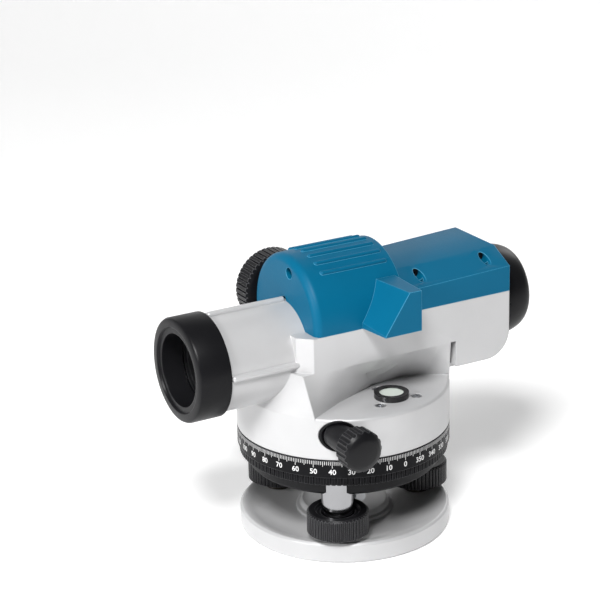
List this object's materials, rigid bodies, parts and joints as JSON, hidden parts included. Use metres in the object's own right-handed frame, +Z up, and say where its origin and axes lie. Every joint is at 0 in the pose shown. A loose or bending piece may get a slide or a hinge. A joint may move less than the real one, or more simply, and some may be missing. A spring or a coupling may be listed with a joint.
{
  "type": "automatic level",
  "caption": "Automatic optical level: levelling base with foot screws, graduated circle, endless fine drive, focusing telescope with compensator, circular bubble and viewing mirror.",
  "frame": {"origin": "centre of the tripod thread in the underside of the base plate, on the vertical axis", "axes": "+Z up along the vertical axis, +X forward along the line of sight to the objective, +Y to the side with the circular bubble"},
  "size_m": [0.2148, 0.156, 0.1663],
  "materials": {
    "silver_paint": "fine satin silver paint on die-cast aluminium",
    "blue_plastic": "fine-grained satin moulded plastic",
    "black_plastic": "satin black plastic",
    "black_rubber": "matte black grip rubber",
    "black_gloss": "polished black plastic",
    "black_circle": "satin black with white graduations",
    "black_paint": "matte black paint on aluminium",
    "black_steel": "blackened steel",
    "felt_black": "dense felt friction washer",
    "chrome": "polished chrome plate",
    "steel": "turned steel",
    "brass": "turned brass",
    "copper": "copper and brass pendulum",
    "aluminium": "machined aluminium",
    "coated_glass": "anti-reflection coated optical glass",
    "clear_glass": "clear optical glass",
    "mirror_glass": "silvered glass"
  },
  "bodies": {
    "base": {"base_plate": "silver_paint", "thread_bush": "steel", "foot_seats": "brass", "ball_retainers": "brass"},
    "foot_screw_1": {"foot_stud_1": "steel", "foot_knob_1": "black_rubber"},
    "foot_screw_2": {"foot_stud_2": "steel", "foot_knob_2": "black_rubber"},
    "foot_screw_3": {"foot_stud_3": "steel", "foot_knob_3": "black_rubber"},
    "tribrach": {"tribrach": "black_paint", "foot_sleeves": "chrome", "axis_bush": "brass", "circle_washer": "felt_black", "circle_retainer": "steel", "clutch_washer": "brass", "wheel_retainer": "steel"},
    "circle": {"horizontal_circle": "black_circle"},
    "drive_wheel": {"worm_wheel": "brass"},
    "alidade": {"main_housing": "silver_paint", "spindle": "steel", "spindle_screws": "steel", "spindle_nut": "steel", "tangent_bushes": "black_plastic", "objective_ring": "black_plastic", "objective_cell": "black_paint", "objective_lens": "coated_glass", "objective_retainer": "black_paint", "focus_bush": "brass", "guide_rods": "steel", "compensator_frame": "aluminium", "damper_magnets": "steel", "reticle_cell": "black_paint", "reticle_glass": "clear_glass", "eyepiece_collar": "black_plastic", "top_cover": "blue_plastic", "cover_screws": "black_steel", "bubble_hood": "blue_plastic", "hood_mirror": "mirror_glass", "vial_ring": "black_gloss", "vial_glass": "clear_glass", "vial_screws": "steel"},
    "tangent_screw": {"tangent_shaft": "steel", "tangent_knob_left": "black_rubber", "tangent_knob_right": "black_rubber"},
    "focus_drive": {"focus_shaft": "steel", "focus_knob": "black_rubber"},
    "focus_carriage": {"focus_cell": "aluminium", "focus_rack": "brass", "focus_lens": "clear_glass"},
    "compensator": {"pendulum": "copper", "prism": "clear_glass"},
    "dioptre": {"dioptre_ring": "black_plastic"},
    "eyepiece": {"eyepiece_tube": "aluminium", "eye_lens": "coated_glass", "field_lens": "clear_glass"}
  },
  "joints": [
    {"name": "foot_screw_1_turn", "type": "hinge", "parent": "base", "child": "foot_screw_1", "pos_m": [0.02681, 0.0383, 0.0072], "axis": [0, 0, 1], "range_deg": [-1080, 1080]},
    {"name": "foot_screw_2_turn", "type": "hinge", "parent": "base", "child": "foot_screw_2", "pos_m": [-0.04657, 0.00407, 0.0072], "axis": [0, 0, 1], "range_deg": [-1080, 1080]},
    {"name": "foot_screw_3_turn", "type": "hinge", "parent": "base", "child": "foot_screw_3", "pos_m": [0.01976, -0.04237, 0.0072], "axis": [0, 0, 1], "range_deg": [-1080, 1080]},
    {"name": "head_lift", "type": "slide", "parent": "base", "child": "tribrach", "axis": [0, 0, 1], "range_m": [-0.003, 0.003]},
    {"name": "circle_turn", "type": "hinge", "parent": "tribrach", "child": "circle", "pos_m": [0, 0, 0.048], "axis": [0, 0, 1], "continuous": true},
    {"name": "coarse_turn", "type": "hinge", "parent": "tribrach", "child": "drive_wheel", "pos_m": [0, 0, 0.076], "axis": [0, 0, 1], "continuous": true},
    {"name": "fine_turn", "type": "hinge", "parent": "drive_wheel", "child": "alidade", "pos_m": [0, 0, 0.076], "axis": [0, 0, 1], "continuous": true},
    {"name": "tangent_screw_turn", "type": "hinge", "parent": "alidade", "child": "tangent_screw", "pos_m": [0.03215, 0, 0.076], "axis": [0, 1, 0], "continuous": true},
    {"name": "focus_turn", "type": "hinge", "parent": "alidade", "child": "focus_drive", "pos_m": [0.018, -0.044, 0.131], "axis": [0, -1, 0], "range_deg": [-150, 150]},
    {"name": "focus_slide", "type": "slide", "parent": "alidade", "child": "focus_carriage", "axis": [1, 0, 0], "range_m": [-0.0093, 0.0093]},
    {"name": "pendulum_swing", "type": "hinge", "parent": "alidade", "child": "compensator", "pos_m": [-0.036, 0, 0.135], "axis": [0, 1, 0], "range_deg": [-1, 1]},
    {"name": "dioptre_turn", "type": "hinge", "parent": "alidade", "child": "dioptre", "pos_m": [-0.1, 0, 0.1195], "axis": [1, 0, 0], "range_deg": [-120, 120]},
    {"name": "eyepiece_slide", "type": "slide", "parent": "alidade", "child": "eyepiece", "axis": [1, 0, 0], "range_m": [-0.00125, 0.00125]}
  ],
  "couplings": [
    {"joint": "foot_screw_1_turn", "follows": "head_lift", "rad_per_m": 6283.2},
    {"joint": "foot_screw_2_turn", "follows": "head_lift", "rad_per_m": 6283.2},
    {"joint": "foot_screw_3_turn", "follows": "head_lift", "rad_per_m": 6283.2},
    {"joint": "tangent_screw_turn", "follows": "fine_turn", "ratio": 112},
    {"joint": "focus_slide", "follows": "focus_turn", "m_per_rad": 0.0035},
    {"joint": "eyepiece_slide", "follows": "dioptre_turn", "m_per_rad": 0.0005968}
  ]
}
